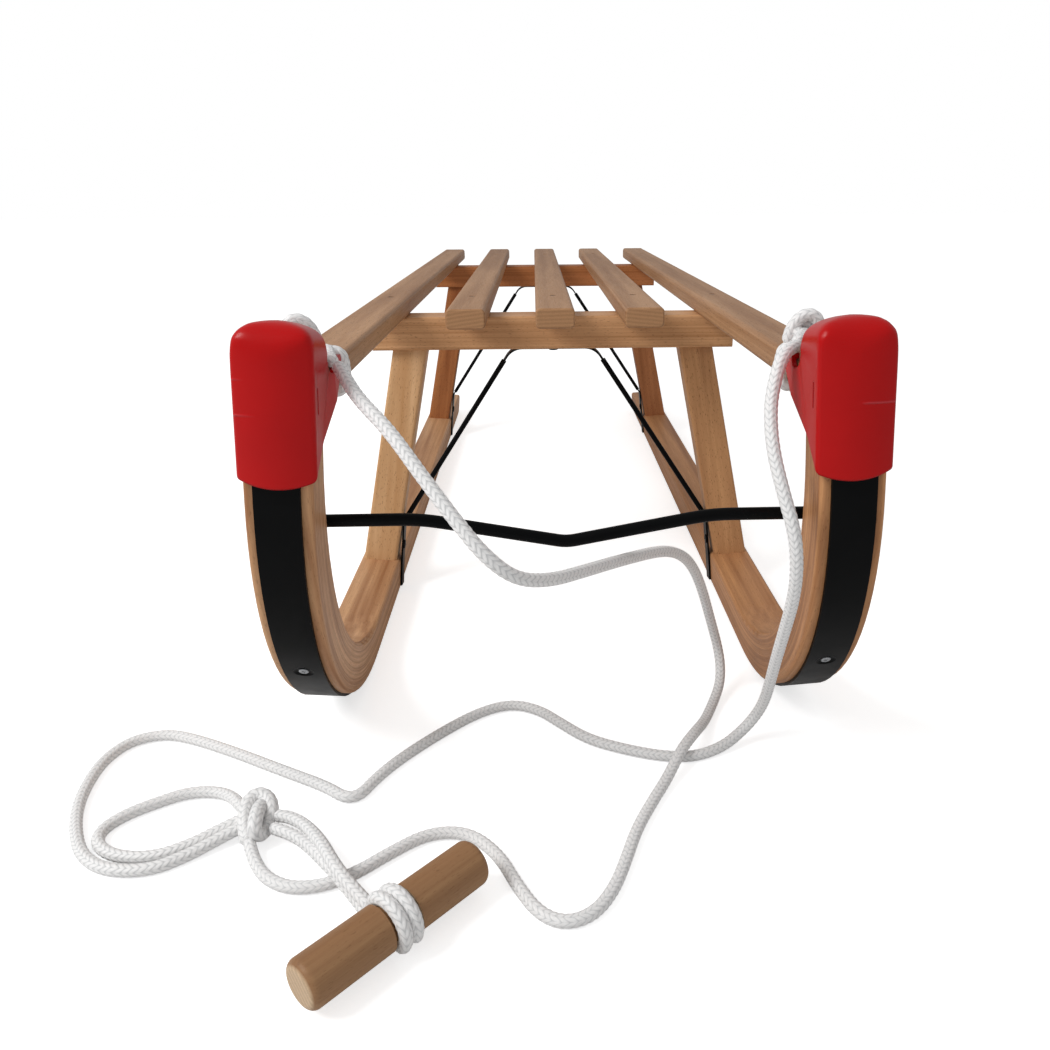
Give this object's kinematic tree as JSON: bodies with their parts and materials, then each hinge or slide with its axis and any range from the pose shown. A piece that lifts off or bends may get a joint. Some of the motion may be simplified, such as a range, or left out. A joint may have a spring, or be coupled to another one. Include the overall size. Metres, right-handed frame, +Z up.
{
  "type": "wooden sled",
  "caption": "Slatted wooden sled on bent runners with steel shoes, plastic nose caps, splayed legs, wire braces, and a pull rope with a wooden handle.",
  "frame": {"origin": "on the ground, in the middle of the sled's length and width, without its rope", "axes": "+Z up, +X towards the rider's left, -Y the way it travels"},
  "size_m": [0.4639, 1.1269, 0.2784],
  "materials": {
    "bent_beech": "steam-bent beech, clear varnish",
    "frame_beech": "planed beech, clear varnish",
    "slat_beech": "planed beech, clear varnish",
    "handle_beech": "turned beech, clear varnish",
    "black_steel": "satin black paint",
    "red_plastic": "satin moulded",
    "white_rope": "braided cord"
  },
  "bodies": {
    "root": {"runner_left": "bent_beech", "runner_right": "bent_beech", "runner_shoe_left": "black_steel", "runner_shoe_right": "black_steel", "front_crossbar": "frame_beech", "rear_crossbar": "frame_beech", "front_leg_left": "frame_beech", "front_leg_right": "frame_beech", "rear_leg_left": "frame_beech", "rear_leg_right": "frame_beech", "front_brace": "black_steel", "rear_brace": "black_steel", "front_tie_bar": "black_steel", "outer_slat_left": "slat_beech", "outer_slat_right": "slat_beech", "inner_slat_left": "slat_beech", "inner_slat_right": "slat_beech", "middle_slat": "slat_beech", "nose_cap_left": "red_plastic", "nose_cap_right": "red_plastic", "rope_hitch_left": "white_rope", "rope_hitch_right": "white_rope", "rope_left": "white_rope", "rope_right": "white_rope", "rope_slack_loop": "white_rope", "handle_strand_upper": "white_rope", "handle_strand_lower": "white_rope", "rope_knot": "white_rope", "handle_hitch": "white_rope", "pull_handle": "handle_beech"}
  },
  "joints": []
}
